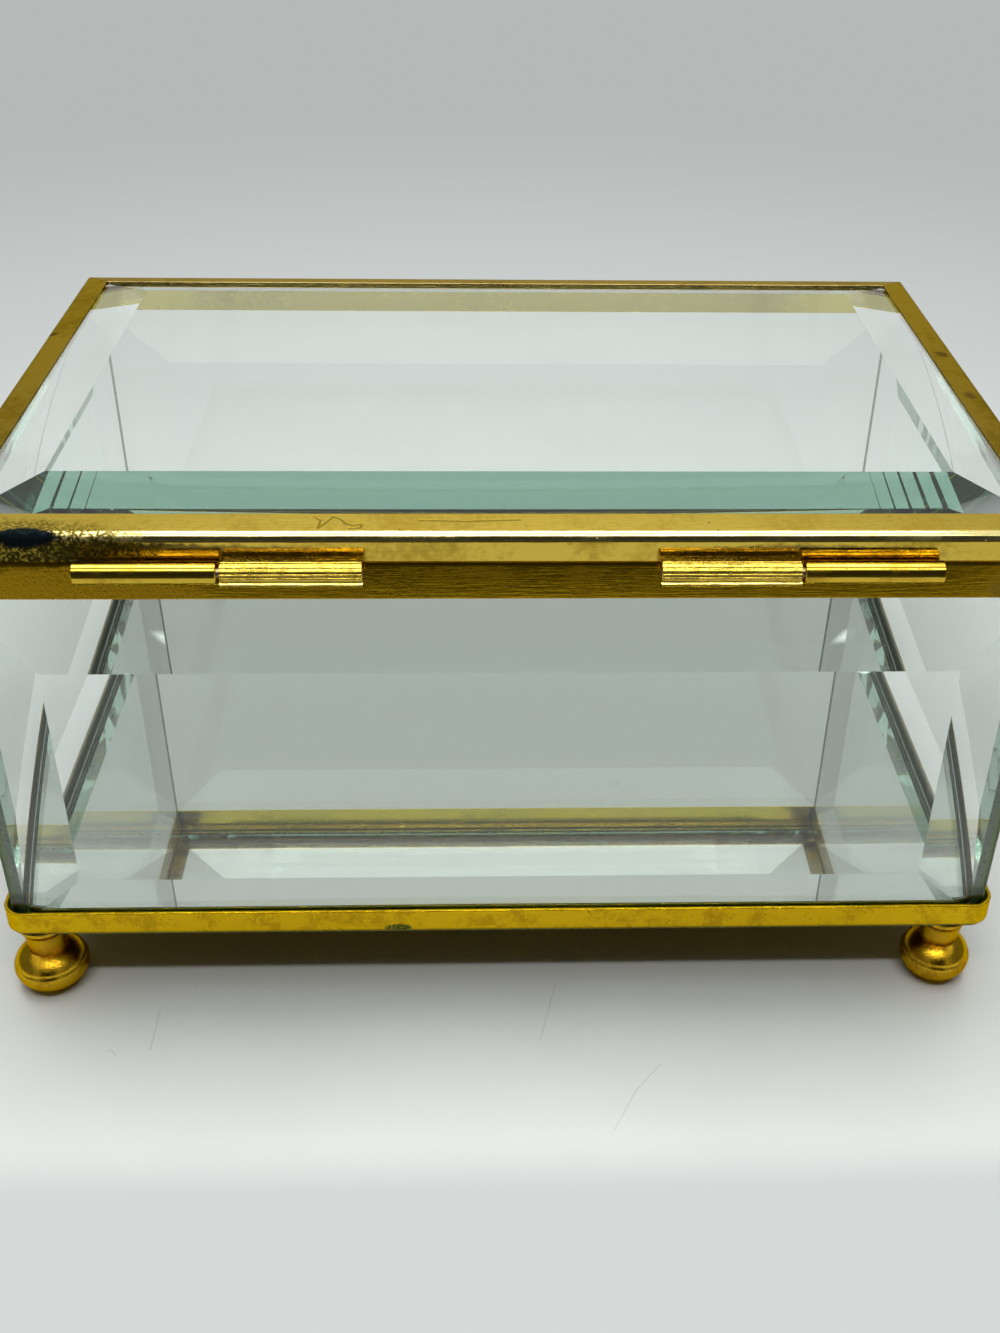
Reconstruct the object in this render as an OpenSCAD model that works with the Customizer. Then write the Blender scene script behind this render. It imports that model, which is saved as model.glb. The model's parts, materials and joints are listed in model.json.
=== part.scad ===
// Glass casket box: a brass tray on four ball feet, bevelled glass walls, a brass rim
// and a bevelled glass lid that swings on two soldered barrel hinges.
// X runs left to right, -Y is the hinge side, Z points up, and the feet stand on Z = 0.

/* [Tray] */
// Outside length of the tray
tray_l = 166.3; // [130:0.1:240]
// Outside depth of the tray
tray_d = 110.1; // [80:0.1:180]
// Height of the tray's turned-up lip
tray_h = 5.5; // [4.2:0.1:9]
// Thickness of the tray's sheet
tray_t = 0.6; // [0.4:0.05:1]
// Outside radius of the tray's corners in plan
tray_corner_r = 3.6; // [2.4:0.1:5]
// Inside radius of the bend under the lip
tray_bend_r = 0.3; // [0.1:0.1:1.2]

/* [Floor] */
// Thickness of the card pad under the mirror
pad_t = 1.3; // [0.8:0.1:2]
// Thickness of the mirror plate
mirror_t = 3; // [2:0.1:5]
// Clearance between the mirror and the glass walls
mirror_gap = 0.4; // [0.2:0.05:1]

/* [Glass walls] */
// Height of the panes
pane_h = 70; // [45:0.1:120]
// Full thickness of the panes
pane_t = 5.1; // [4:0.1:8]
// Thickness left at the bevelled edges
pane_edge_t = 2.1; // [1.9:0.1:3.5]
// Width of the bevel along the ends and the foot of a pane
bevel_w = 13.2; // [8:0.1:16]
// Width of the bevel along the top of a pane, which runs on under the rim
top_bevel_w = 16.9; // [10:0.1:18]
// Gap between the foot of a pane and the sheet that it stands on
pane_seat_gap = 0.2; // [0.1:0.05:0.3]
// Clearance between the panes and the tray's lip
lip_gap = 0.14; // [0.1:0.01:0.4]
// Width of the joint between two panes at a corner
joint_gap = 0.24; // [0.16:0.02:0.5]

/* [Rim and lid frame] */
// Thickness of the brass strip in the rim and the lid frame
frame_t = 0.5; // [0.4:0.05:1]
// Height of the rim's outer face
rim_h = 5.9; // [4:0.1:9]
// Width of the rim's top flange
rim_flange_w = 3.2; // [2.4:0.1:3.2]
// Height of the lid frame's outer face
lid_h = 4.4; // [4:0.1:8]
// Width of the lid frame's top flange
lid_flange_w = 5.2; // [3.6:0.1:7]
// Rise of the lid's flange towards its inner edge, where it lies on the bevel
lid_flange_rise = 0.6; // [0.1:0.05:0.8]
// Inside radius of the rim's bend
rim_bend_r = 0.3; // [0.1:0.05:0.7]
// Inside radius of the lid frame's bend
lid_bend_r = 0.8; // [0.1:0.05:1]
// Clearance between the glass and the brass strip
frame_gap = 0.25; // [0.1:0.05:0.5]
// Gap between the closed lid frame and the rim
lid_gap = 0.3; // [0.2:0.05:0.5]
// Width of the bead that beds the lid's glass in its frame
lid_bead_w = 1.5; // [0.6:0.1:2]

/* [Hinges] */
// Length of one hinge barrel
barrel_l = 20; // [10:0.5:24]
// Outside diameter of a hinge barrel
barrel_d = 3.3; // [2.6:0.1:5]
// Diameter of the hinge pins
pin_d = 1.4; // [1:0.1:2]
// Radial clearance between a pin and its barrels
pin_clearance = 0.05; // [0.03:0.01:0.1]
// Gap between the two barrels of a hinge
barrel_gap = 0.4; // [0.2:0.1:1]
// Gap between the barrels and the upright faces of rim and lid
barrel_stand_off = 0.25; // [0.2:0.05:0.6]
// Mean distance from the end of the rim to the nearer end of a hinge
hinge_inset = 21; // [12:0.5:24]
// Distance by which the hinge pair stands to the right of the middle
hinge_offset = 1.1; // [0:0.1:3]
// Distance by which the hinge line lies below the middle of the gap
hinge_drop = 0.6; // [0:0.05:0.7]
// Greatest height of the solder web that joins a barrel to its strip
web_h = 1.1; // [0.8:0.1:1.5]
// Angle at which the lip under a lid barrel meets the rim
stop_angle = 108; // [95:1:120]
// Reach of that lip past the barrel
stop_reach = 0.4; // [0.35:0.05:0.6]
// Thickness of that lip
stop_t = 0.5; // [0.4:0.05:0.7]

/* [Feet] */
// Height of the feet
foot_h = 14.6; // [12:0.1:20]
// Diameter of the ball
ball_d = 12.6; // [10:0.1:15]
// Height that the whole ball would have without its flat
ball_h = 9; // [7:0.1:10]
// Diameter of the flat that the foot stands on
foot_flat_d = 4; // [2:0.1:6]
// Diameter of the neck
neck_d = 7.6; // [5:0.1:8.5]
// Distance of the feet from the tray's outer faces
foot_inset = 5.7; // [4.5:0.1:9]
// Distance by which the set of feet stands to the left of the middle
feet_offset = 0.9; // [0:0.1:2]

/* [Hidden] */
$fn = 64;

// Cuts run this far past the faces that they break through.
past = 1;

// Heights, from the ground up.
tray_z = foot_h;
floor_z = tray_z + tray_t;
mirror_z = floor_z + pad_t;
pane_z = floor_z + pane_seat_gap;
pane_top_z = pane_z + pane_h;
rim_top_z = pane_top_z + pane_seat_gap / 2 + frame_t;
rim_z = rim_top_z - rim_h;
lid_z = rim_top_z + lid_gap;
lid_top_z = lid_z + lid_h;

// How much a bevelled pane thickens for each millimetre in from its edge.
bevel_slope = (pane_t - pane_edge_t) / bevel_w;
function pane_t_below_top(drop) = pane_t - (top_bevel_w - drop) * bevel_slope;

// The inner faces of the walls follow from the tray, whose lip clears the bevel.
lip_rise = (tray_z + tray_h - pane_z) * bevel_slope;
wall_inset = tray_t + lip_gap + lip_rise + pane_edge_t;
inside_l = tray_l - 2 * wall_inset;
inside_d = tray_d - 2 * wall_inset;
side_pane_l = inside_d - 2 * joint_gap;
end_to_end_l = inside_l + 2 * pane_edge_t;

// The rim clears the panes at its lower edge, and the lid frame stands over it.
frame_out = pane_t_below_top(pane_top_z - rim_z) + frame_gap + frame_t;
frame_l = inside_l + 2 * frame_out;
frame_d = inside_d + 2 * frame_out;

// The lid's glass lies against the inner edge of its frame's flange.
lid_pane_l = frame_l - 2 * (frame_t + lid_bead_w);
lid_pane_d = frame_d - 2 * (frame_t + lid_bead_w);
flange_on_pane = lid_flange_w - frame_t - lid_bead_w;
seat_gap = 0.06;
lid_pane_edge_z = lid_top_z + lid_flange_rise - frame_t - seat_gap - flange_on_pane * bevel_slope;
lid_pane_z = lid_pane_edge_z - pane_edge_t;

// The two hinges, each of an outer barrel on the rim and an inner one on the lid.
hinge_l = 2 * barrel_l + barrel_gap;
hinge_pitch = frame_l - 2 * hinge_inset - hinge_l;

// Hinge line, behind the rear faces at the height of the gap.
axis_out = barrel_stand_off + barrel_d / 2;
hinge_y = -frame_d / 2 - axis_out;
hinge_z = rim_top_z + lid_gap / 2 - hinge_drop;
lid_web_start = hinge_drop + lid_gap / 2;
lid_web_h = min(web_h, barrel_d / 2 - lid_web_start);
rim_web_start = hinge_drop - lid_gap / 2 - web_h;
stop_r = barrel_d / 2 + stop_reach;
stop_lead = asin(stop_t / 2 / stop_r);
stop_rest_angle = -(acos(axis_out / stop_r) + stop_lead + stop_angle);

// Feet stand under the tray's corners.
foot_x = tray_l / 2 - foot_inset;
foot_y = tray_d / 2 - foot_inset;

// A block in the first quadrant whose lower outer corner is rounded.
module bent_block(w, h, r) {
    difference() {
        square([w, h]);
        translate([w - r, -past])
            difference() {
                square([r + past, r + past]);
                translate([0, r + past])
                    circle(r);
            }
    }
}

// Section of the tray's edge, measured outwards from the centre of its corner radius.
module tray_section() {
    difference() {
        bent_block(tray_corner_r, tray_h, tray_bend_r + tray_t);
        translate([-past, tray_t])
            bent_block(tray_corner_r - tray_t + past, tray_h, tray_bend_r);
    }
}

// One straight edge of the tray, along X, with its outer face at -Y.
module tray_edge(run) {
    translate([run / 2, 0, 0])
        rotate([90, 0, -90])
            linear_extrude(run)
                tray_section();
}

module base_tray() {
    core_l = tray_l - 2 * tray_corner_r;
    core_d = tray_d - 2 * tray_corner_r;
    color("goldenrod")
        translate([0, 0, tray_z]) {
            translate([-core_l / 2, -core_d / 2, 0])
                cube([core_l, core_d, tray_t]);
            for (side = [0, 1]) {
                rotate(180 * side)
                    translate([0, -core_d / 2, 0])
                        tray_edge(core_l);
                rotate(90 + 180 * side)
                    translate([0, -core_l / 2, 0])
                        tray_edge(core_d);
            }
            for (corner = [[1, 1, 0], [-1, 1, 90], [-1, -1, 180], [1, -1, 270]])
                translate([corner[0] * core_l / 2, corner[1] * core_d / 2, 0])
                    rotate(corner[2])
                        rotate_extrude(angle = 90)
                            tray_section();
        }
}

// A plate that lies on the floor between the glass walls.
module floor_plate(z, t) {
    l = inside_l - 2 * mirror_gap;
    d = inside_d - 2 * mirror_gap;
    translate([-l / 2, -d / 2, z])
        cube([l, d, t]);
}

module floor_pad() {
    color("dimgray")
        floor_plate(floor_z, pad_t);
}

module mirror_floor() {
    color("gainsboro")
        floor_plate(mirror_z, mirror_t);
}

// A pane that lies on its inner face, bevelled towards all four edges.
// It is centred on X and runs from Y = 0 to Y = h, with its own bevel at that far edge.
module bevelled_pane(l, h, far_bevel_w) {
    far_edge_t = pane_t - far_bevel_w * bevel_slope;
    intersection() {
        translate([0, h, 0])
            rotate([90, 0, 0])
                linear_extrude(h)
                    polygon([
                        [-l / 2, 0], [l / 2, 0], [l / 2, pane_edge_t], [l / 2 - bevel_w, pane_t],
                        [bevel_w - l / 2, pane_t], [-l / 2, pane_edge_t]
                    ]);
        translate([-l / 2, 0, 0])
            rotate([90, 0, 90])
                linear_extrude(l)
                    polygon([
                        [0, 0], [h, 0], [h, far_edge_t], [h - far_bevel_w, pane_t],
                        [bevel_w, pane_t], [0, pane_edge_t]
                    ]);
    }
}

// A wall pane on the -Y side, with its inner face at Y = -inside / 2.
module wall_pane(l, inside) {
    color("lightcyan", 0.4)
        translate([0, -inside / 2, pane_z])
            rotate([90, 0, 0])
                bevelled_pane(l, pane_h, top_bevel_w);
}

module rear_pane() {
    wall_pane(end_to_end_l, inside_d);
}

module front_pane() {
    rotate(180)
        wall_pane(end_to_end_l, inside_d);
}

module left_pane() {
    rotate(-90)
        wall_pane(side_pane_l, inside_l);
}

module right_pane() {
    rotate(90)
        wall_pane(side_pane_l, inside_l);
}

// Film of clear cement between the end of a side pane and the pane beside it.
module pane_joint(side_x, side_y) {
    film_gap = 0.02;
    film_w = pane_t_below_top(0) - 2 * film_gap;
    color("silver")
        translate([
            side_x * (inside_l / 2 + film_gap + film_w / 2),
            side_y * (inside_d / 2 - joint_gap / 2),
            pane_z + pane_h / 2
        ])
            cube([film_w, joint_gap - 2 * film_gap, pane_h], center = true);
}

// Section of an angle strip: outer face on Y, top flange towards +X.
module angle_section(h, flange_w, rise, inner_r) {
    bend_r = inner_r + frame_t;
    slope = rise / flange_w;
    difference() {
        polygon([[0, 0], [0, h], [flange_w, h + rise], [flange_w, 0]]);
        translate([-past, h - bend_r])
            difference() {
                square([past + bend_r, past + bend_r]);
                translate([past + bend_r, 0])
                    circle(bend_r);
            }
        polygon([
            [frame_t, -past], [frame_t, h - bend_r], [bend_r, h - bend_r],
            [bend_r, h - frame_t + slope * bend_r],
            [flange_w + past, h - frame_t + slope * (flange_w + past)], [flange_w + past, -past]
        ]);
        translate([bend_r, h - bend_r])
            circle(inner_r);
    }
}

// A mitred angle strip on the -Y side of a frame that is run long and across deep.
module frame_strip(run, across, z, h, flange_w, rise, inner_r) {
    mitre = flange_w + past;
    color("darkgoldenrod")
        intersection() {
            translate([-run / 2, -across / 2, z])
                rotate([90, 0, 90])
                    linear_extrude(run)
                        angle_section(h, flange_w, rise, inner_r);
            translate([0, -across / 2, z - past])
                linear_extrude(h + rise + 2 * past)
                    polygon([
                        [-run / 2, 0], [run / 2, 0],
                        [run / 2 - mitre, mitre], [mitre - run / 2, mitre]
                    ]);
        }
}

module rim_strip(run, across) {
    frame_strip(run, across, rim_z, rim_h, rim_flange_w, 0, rim_bend_r);
}

module rim_rear() {
    rim_strip(frame_l, frame_d);
}

module rim_front() {
    rotate(180)
        rim_strip(frame_l, frame_d);
}

module rim_left() {
    rotate(-90)
        rim_strip(frame_d, frame_l);
}

module rim_right() {
    rotate(90)
        rim_strip(frame_d, frame_l);
}

module lid_strip(run, across) {
    frame_strip(run, across, lid_z, lid_h, lid_flange_w, lid_flange_rise, lid_bend_r);
}

module lid_frame_rear() {
    lid_strip(frame_l, frame_d);
}

module lid_frame_front() {
    rotate(180)
        lid_strip(frame_l, frame_d);
}

module lid_frame_left() {
    rotate(-90)
        lid_strip(frame_d, frame_l);
}

module lid_frame_right() {
    rotate(90)
        lid_strip(frame_d, frame_l);
}

module lid_pane() {
    color("lightcyan", 0.4)
        translate([0, -lid_pane_d / 2, lid_pane_z])
            bevelled_pane(lid_pane_l, lid_pane_d, bevel_w);
}

// The bead fills the width between the lid's glass and the upright face of its frame,
// up to the bend.
module lid_bead() {
    bead_top_z = min(lid_pane_edge_z, lid_top_z - frame_t - lid_bend_r);
    bead_h = bead_top_z - lid_pane_z;
    color("silver")
        translate([0, 0, lid_pane_z])
            linear_extrude(bead_h)
                difference() {
                    square([
                        lid_pane_l + 2 * (lid_bead_w - seat_gap),
                        lid_pane_d + 2 * (lid_bead_w - seat_gap)
                    ], center = true);
                    square([lid_pane_l + 2 * seat_gap, lid_pane_d + 2 * seat_gap], center = true);
                }
}

// Section of a barrel with its web; the strip's face lies at X = axis_out, and up is +1 or -1.
module barrel_section(up) {
    difference() {
        union() {
            circle(d = barrel_d);
            translate([0, up > 0 ? lid_web_start : rim_web_start])
                square([axis_out, up > 0 ? lid_web_h : web_h]);
        }
        circle(d = pin_d + 2 * pin_clearance);
    }
}

// Places a section drawn in the Y-Z plane about the hinge line, from x to x + l.
module on_hinge_line(x, l) {
    translate([x, hinge_y, hinge_z])
        rotate([90, 0, 90])
            linear_extrude(l)
                children();
}

// Start of the outer or the inner barrel of the hinge on side -1 or 1.
function barrel_x(side, outer) =
    hinge_offset + side * (hinge_pitch / 2 + (outer ? 1 : -1) * (barrel_gap + barrel_l) / 2)
    - barrel_l / 2;

module rim_barrel(side) {
    color("gold")
        on_hinge_line(barrel_x(side, true), barrel_l)
            barrel_section(-1);
}

module lid_barrel(side) {
    bore_r = pin_d / 2 + pin_clearance;
    color("khaki")
        on_hinge_line(barrel_x(side, false), barrel_l) {
            barrel_section(1);
            rotate(stop_rest_angle)
                translate([(bore_r + barrel_d / 2) / 2, -stop_t / 2])
                    square([stop_r - (bore_r + barrel_d / 2) / 2, stop_t]);
        }
}

module hinge_pin(side) {
    color("dimgray")
        translate([hinge_offset + side * hinge_pitch / 2, hinge_y, hinge_z])
            rotate([0, 90, 0])
                cylinder(d = pin_d, h = hinge_l, center = true);
}

// Outline of a foot: the neck runs down to the flattened ball, which ends in a flat.
module foot_outline() {
    ball_r = ball_d / 2;
    start = asin(foot_flat_d / ball_d);
    neck_end = 180 - asin(neck_d / ball_d);
    drop = ball_h / 2 * cos(start);
    steps = 24;
    polygon(concat(
        [[0, 0]],
        [for (i = [0 : steps])
            let (a = start + (neck_end - start) * i / steps)
            [ball_r * sin(a), drop - ball_h / 2 * cos(a)]],
        [[neck_d / 2, foot_h], [0, foot_h]]
    ));
}

module foot(side_x, side_y) {
    color("goldenrod")
        translate([side_x * foot_x - feet_offset, side_y * foot_y, 0])
            rotate_extrude()
                foot_outline();
}

base_tray();
floor_pad();
mirror_floor();
rear_pane();
front_pane();
left_pane();
right_pane();
pane_joint(-1, -1);  // joint_rear_left
pane_joint(1, -1);  // joint_rear_right
pane_joint(-1, 1);  // joint_front_left
pane_joint(1, 1);  // joint_front_right
rim_rear();
rim_front();
rim_left();
rim_right();
lid_pane();
lid_bead();
lid_frame_rear();
lid_frame_front();
lid_frame_left();
lid_frame_right();
rim_barrel(-1);  // rim_barrel_left
rim_barrel(1);  // rim_barrel_right
lid_barrel(-1);  // lid_barrel_left
lid_barrel(1);  // lid_barrel_right
hinge_pin(-1);  // hinge_pin_left
hinge_pin(1);  // hinge_pin_right
foot(-1, -1);  // foot_rear_left
foot(1, -1);  // foot_rear_right
foot(-1, 1);  // foot_front_left
foot(1, 1);  // foot_front_right
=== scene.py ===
import json
import math

import bmesh
import bpy
from mathutils import Matrix, Vector, noise


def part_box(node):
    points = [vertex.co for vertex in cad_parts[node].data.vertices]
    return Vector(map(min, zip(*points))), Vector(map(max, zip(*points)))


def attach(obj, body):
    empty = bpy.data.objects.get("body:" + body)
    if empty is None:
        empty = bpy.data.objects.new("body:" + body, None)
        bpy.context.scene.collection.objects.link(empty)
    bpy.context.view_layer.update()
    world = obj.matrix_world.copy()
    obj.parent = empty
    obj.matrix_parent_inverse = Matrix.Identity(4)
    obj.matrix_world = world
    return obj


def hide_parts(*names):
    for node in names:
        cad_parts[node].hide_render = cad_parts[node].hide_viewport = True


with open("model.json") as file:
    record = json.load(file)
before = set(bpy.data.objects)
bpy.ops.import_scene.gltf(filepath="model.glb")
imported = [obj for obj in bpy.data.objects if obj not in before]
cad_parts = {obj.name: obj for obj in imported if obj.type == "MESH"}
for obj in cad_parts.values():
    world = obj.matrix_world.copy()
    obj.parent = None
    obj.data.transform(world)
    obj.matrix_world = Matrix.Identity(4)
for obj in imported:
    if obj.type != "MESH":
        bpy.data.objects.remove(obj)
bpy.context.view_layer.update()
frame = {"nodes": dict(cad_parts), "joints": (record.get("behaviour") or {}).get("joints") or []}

MM = 0.001
SIDES = {"rear": 0, "right": 90, "front": 180, "left": 270}

# Sizes in millimetres and angles in degrees, unless a comment says otherwise.

# The brass strips of the rim and of the lid's frame
STRIP_T = 0.5
STRIP_EDGE_R = 0.1
STRIP_LIP_R = 0.16
MITRE_SEAM = 0.04
RIM_BEND_R = 0.8
RIM_LEAN = 0.38
LID_BEND_R = 1.3
LID_RISE = 0.78

# The pressed tray
TRAY_T = 0.6
TRAY_CORNER_R = 3.6
TRAY_BEND_R = 0.68
TRAY_LIP_R = 0.22
TRAY_SKIN_T = 0.45

# The hinges: a tail's low and high side, measured from the axis, and the turned lip that stops the lid
BARREL_BORE_D = 1.5
BARREL_CHAMFER = 0.12
LID_TAIL = (0.75, 1.65)
RIM_TAIL = (-0.65, 0.45)
RIB_R = 0.2
RIB_COUNT = 17
RIB_SINK = 0.1
STOP_REACH = 0.4
STOP_T = 0.5
STOP_ANGLE = 108

# The feet: the ball's height and flat, its neck, its groove in radians from below, and its share of full size
BALL_H = 9.0
BALL_FLAT_R = 2.0
NECK_R = 3.8
GROOVE_AT = 1.86
GROOVE_WIDTH = 0.06
GROOVE_DEPTH = 0.022
BALL_SIZE = {"left": 1.0, "right": 0.95}

# Glass: what it absorbs per metre, and how far the lid's underside is shifted
GLASS_TINT = (0.36, 0.68, 0.54)
GLASS_DENSITY = 14
LID_GLASS_TRIM = -0.4


# ---------------------------------------------------------------- shader toolkit

class Value:
    """A socket of a shader. Python's operators on it add Math nodes."""

    def __init__(self, shader, socket):
        self.shader = shader
        self.socket = socket

    def maths(self, operation, *operands):
        made = self.shader.node("ShaderNodeMath", {"operation": operation}, dict(enumerate(operands)))
        return made["Value"]

    def __add__(self, other):
        return self.maths("ADD", self, other)

    def __radd__(self, other):
        return self.maths("ADD", other, self)

    def __sub__(self, other):
        return self.maths("SUBTRACT", self, other)

    def __rsub__(self, other):
        return self.maths("SUBTRACT", other, self)

    def __mul__(self, other):
        return self.maths("MULTIPLY", self, other)

    def __rmul__(self, other):
        return self.maths("MULTIPLY", other, self)

    def __truediv__(self, other):
        return self.maths("DIVIDE", self, other)

    def __pow__(self, other):
        return self.maths("POWER", self, other)

    def at_least(self, other):
        return self.maths("MAXIMUM", self, other)

    def at_most(self, other):
        return self.maths("MINIMUM", self, other)

    def size(self):
        return self.maths("ABSOLUTE", self)

    def ramp(self, low, high):
        """0 at low and 1 at high, with a soft start and end."""
        made = self.shader.node(
            "ShaderNodeMapRange",
            {"interpolation_type": "SMOOTHSTEP", "clamp": True},
            {"Value": self, "From Min": low, "From Max": high},
        )
        return made["Result"]


class Outputs:
    """A node's outputs, by name or number."""

    def __init__(self, shader, made):
        self.shader = shader
        self.made = made

    def __getitem__(self, key):
        return Value(self.shader, self.made.outputs[key])


class Shader:
    """The node tree of a material or of the world."""

    def __init__(self, owner):
        owner.use_nodes = True
        self.owner = owner
        self.tree = owner.node_tree
        self.tree.nodes.clear()

    def node(self, kind, settings=None, inputs=None):
        made = self.tree.nodes.new(kind)
        for name, value in (settings or {}).items():
            setattr(made, name, value)
        for name, value in (inputs or {}).items():
            if isinstance(value, Value):
                self.tree.links.new(value.socket, made.inputs[name])
            else:
                made.inputs[name].default_value = value
        return Outputs(self, made)

    def place(self):
        return self.node("ShaderNodeTexCoord")["Object"]

    def axes(self, vector):
        parts = self.node("ShaderNodeSeparateXYZ", None, {0: vector})
        return parts["X"], parts["Y"], parts["Z"]

    def stretched(self, vector, factors):
        made = self.node(
            "ShaderNodeVectorMath", {"operation": "MULTIPLY"}, {0: vector, 1: factors}
        )
        return made["Vector"]

    def clouds(self, size_mm, detail=2.0, roughness=0.5, stretch=(1, 1, 1)):
        """Noise with features of about that size."""
        made = self.node(
            "ShaderNodeTexNoise",
            None,
            {
                "Vector": self.stretched(self.place(), stretch),
                "Scale": 1 / (size_mm * MM),
                "Detail": detail,
                "Roughness": roughness,
            },
        )
        return made["Fac"]

    def cells(self, size_mm, stretch=(1, 1, 1)):
        """Distance to the nearest of many scattered points, in cell sizes."""
        made = self.node(
            "ShaderNodeTexVoronoi",
            None,
            {"Vector": self.stretched(self.place(), stretch), "Scale": 1 / (size_mm * MM)},
        )
        return made["Distance"]

    def blend(self, factor, first, second):
        """Mix of two colours."""
        made = self.node("ShaderNodeMix", {"data_type": "RGBA"}, {0: factor, 6: first, 7: second})
        return made[2]

    def blot(self, centre, radii, ragged=0.35):
        """1 inside an ellipsoid with a ragged edge, 0 outside; sizes in millimetres."""
        offset = self.node(
            "ShaderNodeVectorMath",
            {"operation": "SUBTRACT"},
            {0: self.place(), 1: [c * MM for c in centre]},
        )["Vector"]
        scaled = self.stretched(offset, [1 / (r * MM) for r in radii])
        reach = self.node("ShaderNodeVectorMath", {"operation": "LENGTH"}, {0: scaled})["Value"]
        edge = (self.clouds(1.6, 4, 0.6) - 0.5) * (2 * ragged)
        return 1 - (reach + edge).ramp(0.7, 1.05)

    def within(self, low, high, corner_r, softness=0.00005):
        """1 inside a box whose upright edges are rounded, 0 outside; in metres."""
        x, y, z = self.axes(self.place())
        middle, half = (low + high) / 2, (high - low) / 2
        past_x = ((x - middle.x).size() - (half.x - corner_r)).at_least(0)
        past_y = ((y - middle.y).size() - (half.y - corner_r)).at_least(0)
        reach = (past_x * past_x + past_y * past_y) ** 0.5
        level = z.ramp(low.z - softness, low.z) * (1 - z.ramp(high.z, high.z + softness))
        return (1 - reach.ramp(corner_r, corner_r + softness)) * level

    def strokes(self, lines, width_mm):
        """1 on thin lines through points in millimetres, 0 off them."""
        nearest = None
        for line in lines:
            for start, end in zip(line, line[1:]):
                a = Vector(start) * MM
                run = Vector(end) * MM - a
                offset = self.node(
                    "ShaderNodeVectorMath", {"operation": "SUBTRACT"}, {0: self.place(), 1: a}
                )["Vector"]
                share = self.node(
                    "ShaderNodeVectorMath",
                    {"operation": "DOT_PRODUCT"},
                    {0: offset, 1: run / run.length_squared},
                )["Value"].at_least(0).at_most(1)
                foot = self.node(
                    "ShaderNodeVectorMath", {"operation": "SCALE"}, {0: run, "Scale": share}
                )["Vector"]
                gap = self.node(
                    "ShaderNodeVectorMath", {"operation": "DISTANCE"}, {0: offset, 1: foot}
                )["Value"]
                nearest = gap if nearest is None else nearest.at_most(gap)
        return 1 - nearest.ramp(0.3 * width_mm * MM, width_mm * MM)

    def bump(self, height, depth_mm):
        made = self.node(
            "ShaderNodeBump", None, {"Strength": 1.0, "Distance": depth_mm * MM, "Height": height}
        )
        return made["Normal"]

    def surface(self, inputs, volume=None):
        """The Principled shader and the material's output."""
        skin = self.node("ShaderNodeBsdfPrincipled", None, inputs)[0]
        ends = {"Surface": skin}
        if volume:
            ends["Volume"] = volume[0]
        self.node("ShaderNodeOutputMaterial", None, ends)


def finish(name):
    return Shader(bpy.data.materials.new(name))


# ---------------------------------------------------------------- finishes

def rgb(red, green, blue):
    return (red, green, blue, 1.0)


def brass(name, clean, tarnish, roughness, tarnish_size=14, patches=0.45, grain_mm=0.012, mottle_mm=1.3,
          blots=(), scratches=(), darker_below=None, cemented=None, sheen=(0.86, 0.68, 0.28)):
    """Polished brass with clouds of tarnish, fine drawing lines and small dark pits.

    blots is a list of (centre, radii, colour, roughness, crust), the corroded or stained places and some
    painted highlights, reflections and shade, scratches a list of lines through points, darker_below a
    (height, softness, colour) that lies under the height, painted shade on the tray and a darker bottom on
    the barrels, and cemented the corners and edge radius of a box in which old green cement covers the metal.
    """
    s = finish(name)
    clouds = s.clouds(tarnish_size, 5, 0.62)
    mottle = s.clouds(mottle_mm, 4, 0.7)
    tarnished = (clouds + (mottle - 0.5) * 0.45).ramp(patches, patches + 0.24)
    lines = s.clouds(0.22, 2, 0.6, (0.04, 1, 1))
    pits = 1 - s.cells(2.1).ramp(0.05, 0.11)
    pits = pits * (s.clouds(9, 2) - 0.02).ramp(0.52, 0.6)
    colour = s.blend(tarnished * 0.85, rgb(*clean), rgb(*tarnish))
    colour = s.blend(pits * 0.8, colour, rgb(0.05, 0.035, 0.01))
    rough = tarnished * 0.14 + roughness + (lines - 0.5) * 0.1 + pits * 0.3
    height = lines * 0.5 + mottle * 0.5 - pits
    crust = s.clouds(0.42, 4, 0.6).ramp(0.38, 0.56)
    for centre, radii, stain, stain_roughness, crusted in blots:
        blot = s.blot(centre, radii) * (crust * crusted + (1 - crusted))
        colour = s.blend(blot, colour, rgb(*stain))
        rough = rough + blot * (stain_roughness - roughness)
        height = height + blot * (0.9 * crusted)
    if scratches:
        scratch = s.strokes(scratches, 0.28)
        colour = s.blend(scratch * 0.75, colour, rgb(0.3, 0.21, 0.01))
        height = height - scratch * 2
    if darker_below:
        level, softness, under_colour = darker_below
        z = s.axes(s.place())[2]
        colour = s.blend(1 - z.ramp(level * MM, (level + softness) * MM), colour, rgb(*under_colour))
    metal = 1.0
    if cemented:
        covered = s.within(*cemented)
        green = s.blend(mottle.ramp(0.4, 0.6), rgb(0.13, 0.16, 0.03), rgb(0.25, 0.29, 0.09))
        colour = s.blend(covered, colour, green)
        rough = rough + covered * 0.4
        metal = 1 - covered
    s.surface({
        "Base Color": colour,
        "Metallic": metal,
        "Specular Tint": rgb(*sheen),
        "Roughness": rough.at_least(0.04).at_most(0.9),
        "Normal": s.bump(height, grain_mm),
    })
    return s.owner


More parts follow.
